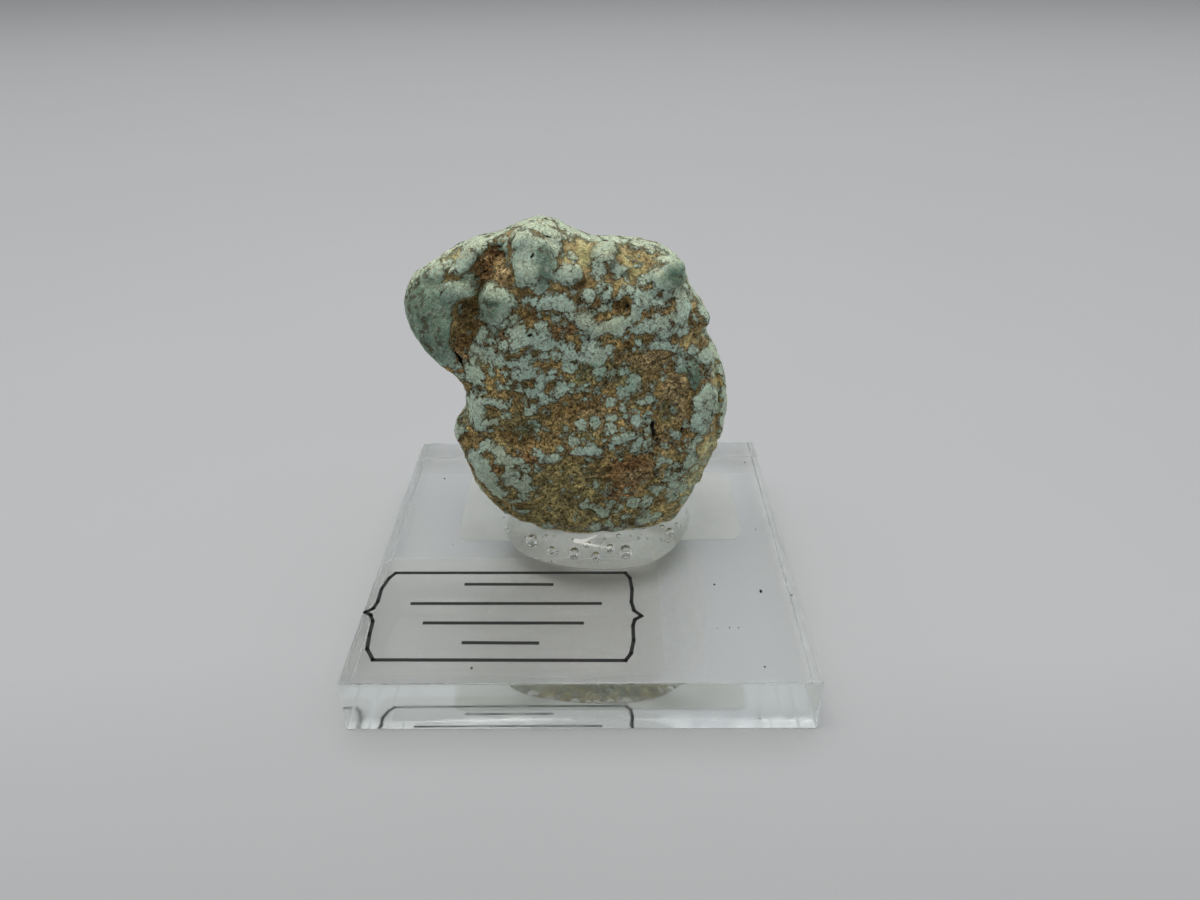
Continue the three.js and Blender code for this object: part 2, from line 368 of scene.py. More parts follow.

# Open cracks and pits, painted very dark inside as shade.
CRACKS = [
    ([(10.4, 37.5), (11.5, 36.9), (12.2, 35.6), (12.7, 34.4), (13.5, 33.1)], 0.28, 0.7),
    ([(4.6, 34.4), (4.7, 33.2)], 0.14, 0.5), ([(-8.2, 50.6), (-8, 49.2)], 0.06, 0.4),
    ([(-21.4, 64.4), (-20.2, 65.6)], 0.05, 0.3), ([(17.6, 46.4), (19.2, 42.6)], 0.03, 0.4),
    ([(-17.2, 60.9), (-14.9, 62.6)], 0.03, 0.3), ([(-6.4, 68.2), (-4.6, 67.7)], 0.05, 0.2),
]
PITS = [
    (-8, 53.3, 0.34, 0.6), (-7.1, 65, 0.14, 0.3), (19.4, 50.7, 0.36, 0.7), (17.7, 34.8, 0.3, 0.5),
    (12.1, 32.1, 0.2, 0.4), (-16.7, 35.3, 0.18, 0.4), (-1.6, 48, 0.22, 0.4), (7.5, 57, 0.3, 0.6),
    (6.1, 57.5, 0.24, 0.6), (-22.2, 59.7, 0.24, 0.4), (14, 19, 0.36, 0.7), (-21, 49, 0.22, 0.5),
    (-20.4, 47.2, 0.28, 0.4), (17.6, 60.2, 0.22, 0.5), (-5.9, 21.5, 0.18, 0.3), (9.9, 41.2, 0.18, 0.4),
    (-19.6, 33.2, 0.18, 0.3), (15.6, 27.2, 0.18, 0.3), (-0.8, 40.2, 0.26, 0.5), (1.2, 41.4, 0.2, 0.4),
]

# Turquoise crust patches of the front: x, z, half width, half height and, where there is one, the
# turn in degrees.
PATCHES = [
    # head, its rim and the rib above the valley
    (-25, 55.6, 4.9, 5.6), (-24.3, 49.8, 2.6, 3.4, 30), (-23.8, 62.3, 2.2, 0.9, 5), (-27.8, 60.6, 1.2, 1.6),
    (-18.6, 63.5, 2.6, 0.8, 42), (-16.6, 66.1, 1.7, 1, 25), (-19.4, 60.7, 1.6, 0.8, 20),
    (-19.9, 59.5, 2.4, 1.2, -18),
    # knob beside the valley, and the top lobe
    (-13.6, 57.3, 2.9, 2.6), (-15.3, 54.5, 1.2, 0.8, -20), (-7.6, 63.9, 2.9, 2.8), (-9, 66.6, 1.5, 1.3),
    (-8.9, 61, 1.1, 1.3), (-5, 63.4, 1.3, 2.2), (-7.5, 69.4, 4.4, 1.8), (-4.4, 66.6, 1.3, 1.6),
    # between the lobes
    (-2.2, 62.2, 1.5, 0.9), (-0.5, 62.5, 0.9, 0.9), (-4.8, 59.4, 1.4, 0.6), (-3.4, 58.3, 2.7, 1, -8),
    (-1.5, 57.3, 0.9, 0.7), (-7.4, 58.9, 1.5, 0.7), (3.9, 64.1, 1.5, 1.6), (4.1, 65.9, 1.1, 0.9),
    (3.3, 62.2, 1, 0.6), (6.4, 62.3, 1.1, 0.6, 10),
    # right shoulder
    (14.3, 60.5, 2.4, 1.8), (11.2, 60.8, 1.6, 0.6), (14.4, 62.7, 1.7, 0.7, -10), (9, 67.2, 1.9, 0.8),
    (15.8, 64.2, 1.6, 1, -40), (1.3, 59.3, 0.8, 1.6, -8), (3.4, 60.4, 0.7, 0.6), (4.8, 59.6, 0.8, 1),
    (6.6, 58.7, 0.8, 0.6), (3.6, 57, 1.2, 0.5, 10), (1, 57.3, 0.9, 0.5), (8.6, 59.6, 1, 0.6),
    (9.6, 58.5, 1.2, 0.9), (8.8, 56.8, 1.3, 0.9), (10.8, 57.2, 0.8, 0.7), (12.3, 59, 1, 0.8),
    (13, 57.4, 1, 0.7), (14.7, 58.3, 1.1, 0.8), (16.8, 57.7, 1, 1.3), (16.4, 55, 1.6, 1.8),
    (13.4, 54.7, 1.7, 0.8, 8), (20.8, 55, 1.3, 2.6, 10),
    # smooth patches across the middle
    (8.3, 55.2, 1.1, 0.8), (0.2, 55.3, 1.6, 0.9), (2.6, 53.8, 2.5, 1.2), (5.8, 53.9, 1.7, 1.5),
    (9.4, 53.2, 1.4, 0.9), (12, 53, 1.2, 0.8), (14.6, 52.8, 1.5, 0.8, 10), (16.8, 52, 1.2, 0.8),
    (8.3, 51.3, 0.7, 0.8), (9.6, 50.4, 0.8, 0.6), (15, 49.8, 1.3, 0.7, 15), (12.9, 50.5, 1, 0.5),
    (-10.4, 53.5, 1.6, 1, -15), (-8.5, 52.7, 1.5, 1.1), (-6, 53.3, 1.3, 1), (-11.6, 51.5, 1.6, 0.6, 10),
    (-7.2, 51.2, 1.4, 0.9), (-5, 51.6, 1.1, 0.9), (-2.2, 50.8, 0.9, 1.3, 25), (1.6, 50.3, 2, 1),
    (4.4, 50.3, 1, 0.7), (0.4, 48.8, 1.9, 1), (2.8, 48.6, 1.2, 0.9), (-1.9, 48.9, 1.1, 0.7),
    (-17, 52.2, 1.5, 0.8), (-14.6, 51.9, 1.3, 0.5), (-17.2, 49.6, 1.9, 0.9), (-14.6, 48.7, 2.1, 0.9, -8),
    (-12.1, 48.3, 1.5, 0.7), (-9.8, 48.6, 1.2, 0.8), (-7, 48.8, 1.1, 0.6), (-18.4, 45, 1.6, 1.9),
    (-14.4, 45.9, 1.6, 0.7), (-11.6, 45.9, 1.2, 0.5), (-9.2, 46.2, 0.8, 0.8), (-6.6, 45.4, 1.3, 0.8, -15),
    (-4.7, 45.7, 1, 0.7), (-3.2, 43.4, 1.2, 0.7, 10), (-9.3, 43.4, 0.8, 0.8), (-7, 43.4, 1.2, 0.5, 8),
    (-12.6, 43.6, 1.2, 0.4), (-4.5, 41.6, 0.8, 0.7), (-6.5, 41.3, 0.6, 0.5, 30), (-8.6, 39.5, 0.9, 0.9),
    (-14.3, 40.2, 1.6, 0.8),
    # left flank
    (-18.4, 38.8, 1.4, 2.5), (-16.6, 36.8, 1.7, 0.6), (-18.2, 35.3, 1.2, 1), (-22.4, 33.4, 1, 1.8),
    (-18.6, 29, 1.5, 2), (-17.2, 26, 1.6, 2.2, 15), (-14.3, 29.9, 0.9, 1.1), (-16.6, 31.6, 1.4, 0.5),
    (-13.3, 27.4, 0.7, 1.3), (-15.8, 22.7, 1.5, 1.8, 25), (-12.8, 24.8, 1.3, 0.8), (-10.6, 24.5, 1.6, 1.4),
    (-12.5, 20.4, 1.5, 0.8), (-11.6, 18.2, 1.3, 0.8), (-6.5, 30.6, 1.4, 0.8), (-4.6, 30.6, 0.8, 0.6),
    (-10.4, 33.9, 1.2, 0.4, 20), (-7.4, 35.8, 1.5, 0.35, 40),
    # middle of the belly
    (0.8, 32.4, 1.1, 0.8), (2.6, 32.1, 1.4, 0.8), (-1.2, 32.2, 0.8, 0.5), (4.9, 36.8, 0.5, 1.2),
    (6.6, 34.7, 1.4, 0.7), (8.4, 35.3, 1.3, 0.9), (9.7, 36.8, 0.6, 0.9), (9.6, 33.4, 0.7, 1.6),
    (10.3, 31.6, 1.3, 0.7), (6.8, 38.5, 1.2, 0.8), (4.9, 38.8, 0.7, 0.6), (10.9, 40.8, 1.5, 0.6),
    (8.4, 43, 1.5, 0.9), (11.9, 43.3, 0.8, 0.8), (3.4, 46.6, 1.7, 0.8, 10), (5.2, 45.2, 1.1, 0.7),
    (1.4, 42, 0.9, 0.4, 20), (3, 44.3, 1.2, 0.5, 15), (-2.6, 38.6, 1.2, 0.5, 25), (-1, 36.2, 1, 0.4, 25),
    # right flank
    (17.3, 45.6, 1.2, 1.1), (18.9, 43.8, 1.4, 1.4), (21.4, 39.6, 1.8, 2.8), (20.6, 35.6, 1.7, 2.2),
    (21.8, 46.6, 1.6, 1.1, -15), (18.6, 47.9, 1.4, 0.7), (14.4, 31.8, 1.3, 0.8), (16.7, 33.9, 0.9, 0.6),
    (19.4, 30.6, 0.8, 1.4), (19, 27.6, 1.5, 0.9, 25), (17.9, 25.2, 1.3, 0.9, 25), (16.4, 22.9, 1.3, 1.5),
    (16, 19.4, 1.2, 0.9), (13.3, 26.2, 0.8, 0.8), (12.4, 23.2, 0.7, 0.7), (11.2, 18.3, 1.3, 0.8),
    (10.3, 16.2, 0.9, 1.3), (9.4, 20.6, 1.3, 0.7), (3.7, 18.8, 1.2, 0.9), (2.2, 15.4, 0.9, 0.9),
    (6.2, 14.8, 0.9, 0.6), (4.4, 22.4, 0.8, 0.6), (24.9, 44.6, 0.7, 2.6, 12), (25.8, 38.5, 0.7, 3.6, 3),
    (25.6, 32, 0.7, 2.2, -6), (0.4, 20.4, 1, 0.9), (7.4, 17.4, 0.9, 0.7), (13.4, 28.6, 1, 0.8),
]

# How much of each region loose flakes cover: x, z, half width, half height, turn, share.
FLAKE_REGIONS = [
    (-1, 51.5, 19, 6.5, 0, 0.4), (12, 55.5, 8, 5.5, 0, 0.38), (-12, 46, 9, 3.5, 0, 0.36),
    (2, 60, 9, 2.5, 0, 0.38), (-8, 64, 4, 5, 0, 0.6), (-9, 41, 9, 3, 0, 0.42),
    (5, 45, 7, 4, 0, 0.5), (13.5, 46.5, 4, 3, 0, 0.22), (4, 35.5, 8, 4, 0, 0.5),
    (-11, 36.5, 7, 3, 0, 0.26), (-15.5, 26, 6.5, 8, 20, 0.5), (-1, 22, 9, 9, 0, 0.2),
    (7, 28, 6, 4, 0, 0.08), (19.5, 40, 4.5, 9, 0, 0.5), (17.5, 24, 5, 8, 20, 0.66),
    (10, 18, 6, 5, 0, 0.52), (-15, 62.5, 3, 4, 0, 0.08), (-25, 55, 5.5, 8, 0, 0.9),
    (-19.8, 53, 2.4, 7, 0, 0.03), (11, 64, 5, 2.5, 0, 0.35), (14, 35, 3, 4, 0, 0.4),
]

# Colour zones of the front, written as the patches are.
ZONES = {
    # These zones lie mostly along the folds and at pits: their matrix stays bare of crust, and is darkened
    # there as painted shade.
    "dark": [
        (-19, 54.8, 2, 3.2, 8), (-19.6, 52.4, 2, 3), (6.8, 57.2, 1.6, 1.2), (0.6, 60.8, 2.2, 0.8, 20),
        (-7, 56.4, 3, 0.9), (-1, 39.9, 4.5, 0.8, 18), (-11, 33.6, 4, 0.9), (14.8, 37.6, 1, 2.2),
        (14.2, 19, 1.4, 0.8, 15), (-11.5, 19.4, 1.8, 1), (-9, 60.4, 1.2, 0.8), (7.8, 50.3, 1.2, 1.4, 20),
    ],
    "ochre": [
        (-20.5, 65.4, 4.2, 2.2, 25), (-23.4, 61.2, 3.2, 1), (-9.4, 69, 0.8, 2), (0.5, 65.2, 2.6, 2.2),
        (10.4, 63.4, 3, 2.4), (8.8, 61.2, 2.4, 1), (18, 61.8, 1.6, 2.6), (19.2, 50.2, 2.4, 1.4),
        (23.2, 43.8, 1, 3, 8), (12.6, 65.4, 3, 1.4), (-16.6, 47.4, 4, 0.5), (21.2, 25, 3.2, 8, -18),
        (17, 20, 3, 2, 30), (14.6, 28.6, 1.6, 1.6),
    ],
    "red": [
        (-20.6, 48.2, 2.2, 3.8), (-11.8, 53, 3.4, 1.2), (-3, 53.8, 2.2, 1.2), (8.4, 27, 4.6, 3.4),
        (7, 22.4, 3, 2), (-8.6, 30.2, 2.4, 1.6), (-14.4, 62.8, 3.4, 3.2), (2, 58.2, 1.8, 0.6),
        (-15.6, 27.6, 1.6, 0.8),
    ],
    "clay": [
        (12.4, 47.4, 3, 1.8), (16.2, 42, 2.2, 3.2), (2.6, 38.4, 2.6, 1.8), (16.6, 38.6, 1.8, 2.4),
        (7.4, 47.8, 2.4, 0.8), (14.6, 32.4, 2, 1.2), (9.6, 26, 2.6, 1.4),
    ],
    "olive": [
        (-4, 24, 7, 6), (-1.5, 16.5, 8, 4.5), (-13, 36.4, 4, 2), (6.4, 64.2, 1.6, 1.4),
        (-22.2, 36, 1.2, 1.6), (-10, 38, 2.6, 1.4), (-14, 32.2, 3, 0.9), (9.4, 40, 2.2, 0.8),
        (1, 35.4, 3, 2),
    ],
    "green": [
        (7.6, 45, 2.8, 2), (2.4, 46.6, 3.6, 1.6), (-9.4, 35.4, 2.6, 1.2, 30), (8, 43, 1.6, 1),
        (14.8, 37.6, 1.4, 2.4), (-1, 44.4, 2, 1),
    ],
    "smooth": [
        (-24.4, 53.6, 4.4, 6.6), (14.2, 60.8, 2, 1.5), (5.6, 53.8, 2, 1.3), (-17.6, 26.4, 1.8, 3, 20),
        (21.2, 39.6, 1.2, 2.2),
    ],
    "grey": [
        (-25, 54.5, 5, 7.6), (18.8, 44, 2.4, 2.2), (-5.4, 63.6, 1.6, 2.4), (-13.6, 57.2, 2, 1.8),
        (14.6, 60.4, 1.6, 1.4),
    ],
    "pale": [
        (24.4, 44, 1.4, 6, 12), (25, 35.5, 1.2, 6), (21.4, 24, 2.8, 8, -20), (-20, 38, 2.4, 4),
        (14, 15, 4, 3, 20), (-17, 44.5, 5, 4),
    ],
    "mottled": [
        (-26.4, 57, 2.8, 3.6), (-24.4, 51.6, 2.2, 3.2, 10), (-23.8, 56, 1.8, 2.2), (-13.7, 57.5, 1.6, 1.3),
        (14.8, 60.2, 1.3, 0.9), (21.4, 38, 1.2, 3), (18.8, 44.2, 1.6, 1.6),
    ],
}


def box_of_directions(across, deep, halves=(1.0, 1.0, 1.0)):
    """A closed box of quads, across x across on its front and back and across x deep on its other
    sides, as unit directions from its middle. `halves` gives the box its proportions."""
    counts = (across, deep, across)
    sides = []
    for axis in range(3):
        u, v = (axis + 1) % 3, (axis + 2) % 3
        i, j = (grid.ravel() for grid in np.meshgrid(range(counts[u]), range(counts[v]), indexing="ij"))
        for end, steps in ((0, [(0, 0), (0, 1), (1, 1), (1, 0)]), (1, [(0, 0), (1, 0), (1, 1), (0, 1)])):
            side = np.zeros((i.size, 4, 3), int)
            side[:, :, axis] = end * counts[axis]
            for corner, (du, dv) in enumerate(steps):
                side[:, corner, u] = i + du
                side[:, corner, v] = j + dv
            sides.append(side)
    corners = np.concatenate(sides).reshape(-1, 3)
    places, index = np.unique(corners, axis=0, return_inverse=True)
    d = np.sin((places / counts * 2 - 1) * math.pi / 3) / math.sin(math.pi / 3) * halves
    return d / np.linalg.norm(d, axis=1)[:, None], index.reshape(-1, 4)


def closed_curve(points, steps=12):
    """Points along the smooth closed curve through `points`."""
    b = np.array(points, float)
    a, c, d = np.roll(b, 1, 0), np.roll(b, -1, 0), np.roll(b, -2, 0)
    t = (np.arange(steps) / steps)[:, None, None]
    curve = b + 0.5 * ((c - a) * t + (2 * a - 5 * b + 4 * c - d) * t**2
                       + (3 * b - a - 3 * c + d) * t**3)
    return curve.transpose(1, 0, 2).reshape(-1, b.shape[1])


def outline_reach(outline, centre, angle):
    """How far the closed outline reaches from its centre at each angle."""
    rim = closed_curve(outline) - centre
    rim_angle = np.arctan2(rim[:, 1], rim[:, 0])
    order = np.argsort(rim_angle)
    return np.interp(angle, rim_angle[order], np.linalg.norm(rim, axis=1)[order], period=2 * math.pi)


def body_points(d):
    """The plain body's surface in each unit direction."""
    across = np.hypot(d[:, 0], d[:, 2])
    angle = np.arctan2(d[:, 2], d[:, 0])
    radius = outline_reach(NUGGET_OUTLINE, NUGGET_CENTRE[[0, 2]], angle)
    reach = (across**BOXINESS + np.abs(d[:, 1])**BOXINESS) ** (-1 / BOXINESS)
    x = radius * across * reach * np.cos(angle)
    z = radius * across * reach * np.sin(angle)
    depth = np.where(d[:, 1] < 0, FRONT_DEPTH, BACK_DEPTH)
    y = depth * d[:, 1] * reach + LEAN_UP * z + LEAN_RIGHT * x
    return NUGGET_CENTRE + np.stack([x, y, z], 1)


def broad_shift(points, d):
    """How far the broad forms move each point along Y."""
    shift = np.zeros(len(points))
    for side, x, z, reach_x, reach_z, lift in BROAD_FORMS:
        share = smoothstep(0, 0.6, side * d[:, 1])
        q = ((points[:, 0] - x) / reach_x) ** 2 + ((points[:, 2] - z) / reach_z) ** 2
        shift += side * lift * share * np.exp(-q)
    return shift


def unit_normals(points, quads):
    """The smooth outward normal at each vertex."""
    a, b, c, d = (points[quads[:, i]] for i in range(4))
    face = np.cross(c - a, d - b)
    normal = np.zeros_like(points)
    for i in range(4):
        for axis in range(3):
            normal[:, axis] += np.bincount(quads[:, i], face[:, axis], len(points))
    return normal / np.linalg.norm(normal, axis=1)[:, None]


def ellipse_distance(x, z, spot):
    """How far from an ellipse's middle each point is: 0 there, 1 on its edge."""
    cx, cz, half_x, half_z = spot[:4]
    turn = math.radians(spot[4]) if len(spot) > 4 else 0
    u = (x - cx) * math.cos(turn) + (z - cz) * math.sin(turn)
    v = (z - cz) * math.cos(turn) - (x - cx) * math.sin(turn)
    return np.hypot(u / half_x, v / half_z)


def inside_depth(x, z, spots, floor):
    """How deep inside the ellipses each point is, roughly in mm, and at least `floor`."""
    depth = np.full(len(x), float(floor))
    for spot in spots:
        q = ellipse_distance(x, z, spot)
        depth = np.maximum(depth, (1 - q) * min(spot[2], spot[3]) ** 0.5 * 0.9)
    return depth


def zone_share(x, z, spots):
    """1 inside any of the ellipses, fading to 0 a little way outside them."""
    share = np.zeros(len(x))
    for spot in spots:
        share = np.maximum(share, 1 - smoothstep(0.6, 1.35, ellipse_distance(x, z, spot)))
    return share


def line_distance(x, z, line):
    """Distance in mm from each point to a line of (x, z) points."""
    best = np.full(len(x), 99.0)
    for (ax, az), (bx, bz) in zip(line, line[1:]):
        dx, dz = bx - ax, bz - az
        t = np.clip(((x - ax) * dx + (z - az) * dz) / (dx * dx + dz * dz), 0, 1)
        best = np.minimum(best, np.hypot(x - ax - t * dx, z - az - t * dz))
    return best


def nugget_shape():
    """The nugget's vertices, its faces, and the fields and colours that its material reads."""
    directions, quads = box_of_directions(FACE_QUADS, RIM_QUADS, BODY_HALVES)
    points = body_points(directions)
    points[:, 1] += broad_shift(points, directions)
    front = smoothstep(0.05, 0.45, -directions[:, 1])

    # Features bend a little with noise, so that no edge is a plain ellipse.
    bend = np.stack([perlin(points, 2.6, 1), perlin(points, 2.6, 2)], 1) * 0.45
    bend += np.stack([perlin(points, 1.0, 3), perlin(points, 1.0, 4)], 1) * 0.22
    x = points[:, 0] + bend[:, 0]
    z = points[:, 2] + bend[:, 1]
    points = sculpted(points, quads, front, x, z)
    normal = unit_normals(points, quads)

    zones = {name: front * zone_share(x, z, spots) for name, spots in ZONES.items()}
    high = smoothstep(56, 64, points[:, 2])
    low = 1 - smoothstep(24, 32, points[:, 2])
    rough = fractal(points, 1.6, 3, 40, 0.6)
    crust, share = turquoise_cover(points, directions, front, x, z, zones)
    relief = cover_relief(points + bend[:, [0, 1, 0]] * 0.8, crust, share, rough, zones)
    # The insides of the cracks and pits get painted shade.
    painted_hole_shade = np.zeros(len(points))
    gaps = [(line_distance(x, z, line) - half_width, depth) for line, half_width, depth in CRACKS]
    gaps += [(np.hypot(x - cx, z - cz) - radius, depth) for cx, cz, radius, depth in PITS]
    for gap, depth in gaps:
        relief -= depth * front * (1 - smoothstep(-0.1, 0.3, gap))
        painted_hole_shade = np.maximum(painted_hole_shade, front * np.clip(0.5 - gap, 0, 1))
    points = points + normal * relief[:, None]

    # Painted rim light: the colour is lightened where the surface turns sideways, standing in for light
    # from behind and the sides.
    zones["painted_rim_light"] = np.exp(-((normal[:, 1] + 0.10) / 0.42) ** 2) * (1 - 0.5 * zones["grey"])
    speck = np.clip(2 * zones["mottled"] + 0.25 * low, 0, 1)
    soft = zones["ochre"] + 0.6 * high + 0.7 * zones["painted_rim_light"] - zones["red"]
    matrix, shell = stone_colours(points, normal, zones, rough, high, low, front)
    return points, quads, {
        "crust": crust, "share": share, "painted_hole_shade": painted_hole_shade, "smooth": zones["smooth"], "speck": speck,
        "grainy": 1 - 0.8 * np.clip(soft, 0, 1), "matrix_colour": matrix, "crust_colour": shell,
    }


def sculpted(points, quads, front, x, z):
    """The body with its knobs and folds, and a slow swell."""
    normal = unit_normals(points, quads)
    lift = np.zeros(len(points))
    for spot in KNOBS:
        lift += KNOB_RISE * spot[5] * front * (1 - smoothstep(0.45, 1.15, ellipse_distance(x, z, spot)))
    lift += 0.22 * perlin(points, 3.0, 7) - 0.42
    sink = np.zeros(len(points))
    for line, half_width, depth in FOLDS:
        sink += depth * front * np.exp(-(line_distance(x, z, line) / half_width) ** 2)
    swell = 0.6 * perlin(points, 11, 5) + 0.45 * perlin(points, 5.5, 6) * (1 - 0.6 * front)
    points = points + normal * lift[:, None]
    points[:, 1] += sink + swell * normal[:, 1]
    return points


def turquoise_cover(points, directions, front, x, z, zones):
    """Two fields that say where turquoise covers the brown matrix. `crust` is above 0 on the placed
    patches, roughly in mm. Elsewhere the material scatters loose flakes over `share` of the surface."""
    crust = inside_depth(x, z, PATCHES, -0.8) + 0.36
    crust += 0.20 * perlin(points, 1.7, 31) + 0.20 * perlin(points, 0.8, 32)
    wild = 0.10 + 0.75 * fractal(points, 7.0, 3, 30) + 0.3 * perlin(points, 1.7, 31)
    wild += 0.4 * np.exp(-(directions[:, 1] / 0.35) ** 2)
    crust = front * crust + (1 - front) * wild
    bare = np.maximum(zones["dark"], 0.7 * zones["clay"])
    share = flake_share(x, z, front) + 0.12 * perlin(points, 3.0, 35)
    return np.clip(crust - 1.3 * bare, -1, 1), np.clip(share * (1 - 0.85 * bare), 0, 1)


def cover_relief(ragged, crust, share, rough, zones):
    """Fine relief in mm: the crust stands proud in low domes, and the matrix between is rough."""
    near, chance = cells(ragged, 1.7, 20)
    small_near, small_chance = cells(ragged, 0.9, 22)
    lumps = smoothstep(-0.2, 0.2, share - 0.75 * chance - 0.25 * small_chance)
    cover = np.maximum(smoothstep(-0.12, 0.25, crust), 0.6 * lumps)
    dome = 1 - np.clip(near / 0.8, 0, 1) ** 2
    small_dome = 1 - np.clip(small_near / 0.8, 0, 1) ** 2
    relief = 0.26 * cover + (0.16 * dome + 0.10 * small_dome) * cover * (1 - 0.75 * zones["smooth"])
    relief += 0.06 * rough * cover + 0.22 * rough * (1 - cover)
    return relief * (1 - 0.3 * zones["clay"])


def flake_share(x, z, front):
    """The share of the front that loose flakes of turquoise cover, region by region."""
    share = np.full(len(x), 0.30)
    for region in FLAKE_REGIONS:
        inside = 1 - smoothstep(0.55, 1.3, ellipse_distance(x, z, region))
        share += (region[5] - share) * inside
    return front * share + (1 - front) * 0.4


def tinted(colour, tints):
    """A colour with others blended over it in turn, each by its own share at each vertex."""
    for tint, share in tints:
        colour = colour + (np.array(tint) - colour) * share[:, None]
    return colour


def stone_colours(points, normal, zones, rough, high, low, front):
    """The colours of the matrix and of the crust at each vertex, as linear albedo."""
    up = smoothstep(0.1, 0.8, normal[:, 2])
    drift = perlin(points, 6, 50)
    drift2 = perlin(points, 3, 51)
    grain = fractal(points, 1.1, 2, 52)
    blotch = smoothstep(-0.2, 0.3, perlin(points, 2.4, 53) + 0.5 * perlin(points, 1.0, 54))
    ochre = np.clip(zones["ochre"] + (1 - front) * smoothstep(0, 0.6, drift) + 0.5 * high * up, 0, 1)
    grey, painted_rim_light, pale = (zones[name][:, None] for name in ("grey", "painted_rim_light", "pale"))
    # The right flank and the hidden underside are paler.
    under = 1 + 0.5 * smoothstep(0.4, 0.9, -normal[:, 2])[:, None]

    matrix = tinted((0.335, 0.235, 0.100), [
        # Lighter where the matrix relief stands high.
        ((0.56, 0.44, 0.20), 0.5 * smoothstep(-0.1, 0.7, rough + 0.4 * drift2)),
        ((0.34, 0.300, 0.145), np.clip(zones["olive"] + 0.6 * low, 0, 1) * 0.7),
        ((0.30, 0.155, 0.078), zones["red"] * 0.75),
        ((0.38, 0.295, 0.170), zones["clay"] * 0.85),
        ((0.23, 0.29, 0.165), zones["green"] * 0.6),
        ((0.80, 0.65, 0.35), ochre * smoothstep(-0.7, 0.5, grain + 0.4)),
        # Painted rim light: pale cream on the matrix at the rims.
        ((0.84, 0.74, 0.46), 0.85 * zones["painted_rim_light"] * smoothstep(-0.7, 0.4, grain + 0.3)),
        # Darker where the matrix relief lies low.
        ((0.10, 0.060, 0.026), 0.5 * smoothstep(0.1, 0.8, -rough)),
        # Painted shade in the folds and pits.
        ((0.120, 0.074, 0.032), zones["dark"] * 0.62),
    ])
    matrix *= (1 + 0.22 * drift2)[:, None] * np.array([1.22, 1.20, 1.07])
    matrix *= under + 0.40 * pale

    crust = tinted((0.500, 0.670, 0.550), [
        ((0.62, 0.68, 0.44), smoothstep(0, 0.8, drift) * 0.6),
        ((0.47, 0.67, 0.56), smoothstep(0, 0.8, -drift) * 0.6),
        ((0.26, 0.46, 0.34), zones["green"] * 0.6),
        # Lighter where the crust faces up, plus painted rim light at the rims.
        ((0.64, 0.75, 0.53), np.clip(up * 0.3 + 0.5 * zones["painted_rim_light"], 0, 1)),
        ((0.72, 0.66, 0.40), 0.7 * ochre * smoothstep(-0.2, 0.6, grain)),
        ((0.40, 0.41, 0.23), np.clip(zones["olive"] + low, 0, 1) * 0.35),
        ((0.27, 0.33, 0.22), zones["mottled"] * 0.5),
        ((0.22, 0.36, 0.27), zones["grey"] * blotch * 0.8),
    ])
    crust *= 1 - grey * np.array([0.55, 0.45, 0.50])
    # The rims are lightened again here: painted rim light.
    crust *= (1 + 0.12 * grain + 0.08 * drift2)[:, None] + 0.12 * painted_rim_light
    crust *= under + 0.10 * pale
    crust = tinted(crust, [((0.62, 0.72, 0.50), zones["pale"] * 0.35)])
    return np.clip(matrix, 0.004, 0.88), np.clip(crust, 0.004, 0.88)


class Stone(Surface):
    """Turquoise crust and flakes over brown matrix, with fissures, crumbs and grains finer than
    the mesh. The mesh's fields say how much of each shows, and where."""

    def __init__(self):
        super().__init__("turquoise_stone")
        self.share = self.attribute("share")
        self.smooth = self.attribute("smooth")
        self.fine = self.noise(0.42, 4, 0.65)
        self.finer = self.noise(0.16, 3, 0.6)
        self.broad = self.noise(1.6, 3, 0.6)
        ragged = self.warped(0.8, 0.28)
        self.chance, self.edge, self.reach = self.flakes(2.2, ragged)
        self.small_chance, self.small_edge, self.small_reach = self.flakes(0.95, ragged)
        self.grain_chance, self.grain_edge, _ = self.flakes(0.44, self.place)
        self.height = crust_height(self)


def crust_height(s):
    """Height of the crust: placed patches or loose flakes, cut into lobes, and roughened."""
    pick = s.plus(s.times(s.chance, 0.6), s.times(s.small_chance, 0.4))
    flakes = s.times(s.maths("SUBTRACT", s.plus(s.share, 0.08), pick), 1.8)
    round_lobes = s.plus(s.spread(s.reach, 0.75, 1.6, 0.26, -0.62),
                         s.spread(s.small_reach, 0.30, 0.68, 0.14, -0.32))
    gaps = s.plus(s.spread(s.edge, 0.0, 0.22, -0.34, 0.0), s.spread(s.small_edge, 0.0, 0.08, -0.08, 0.0))
    lobes = s.times(s.plus(round_lobes, gaps), s.spread(s.smooth, 0, 1, 1.0, 0.25))
    patches = s.plus(s.attribute("crust"), s.times(lobes, 0.55))
    height = s.maths("MAXIMUM", patches, s.plus(flakes, lobes))
    return s.plus(height, s.spread(s.fine, 0.25, 0.75, -0.22, 0.38))


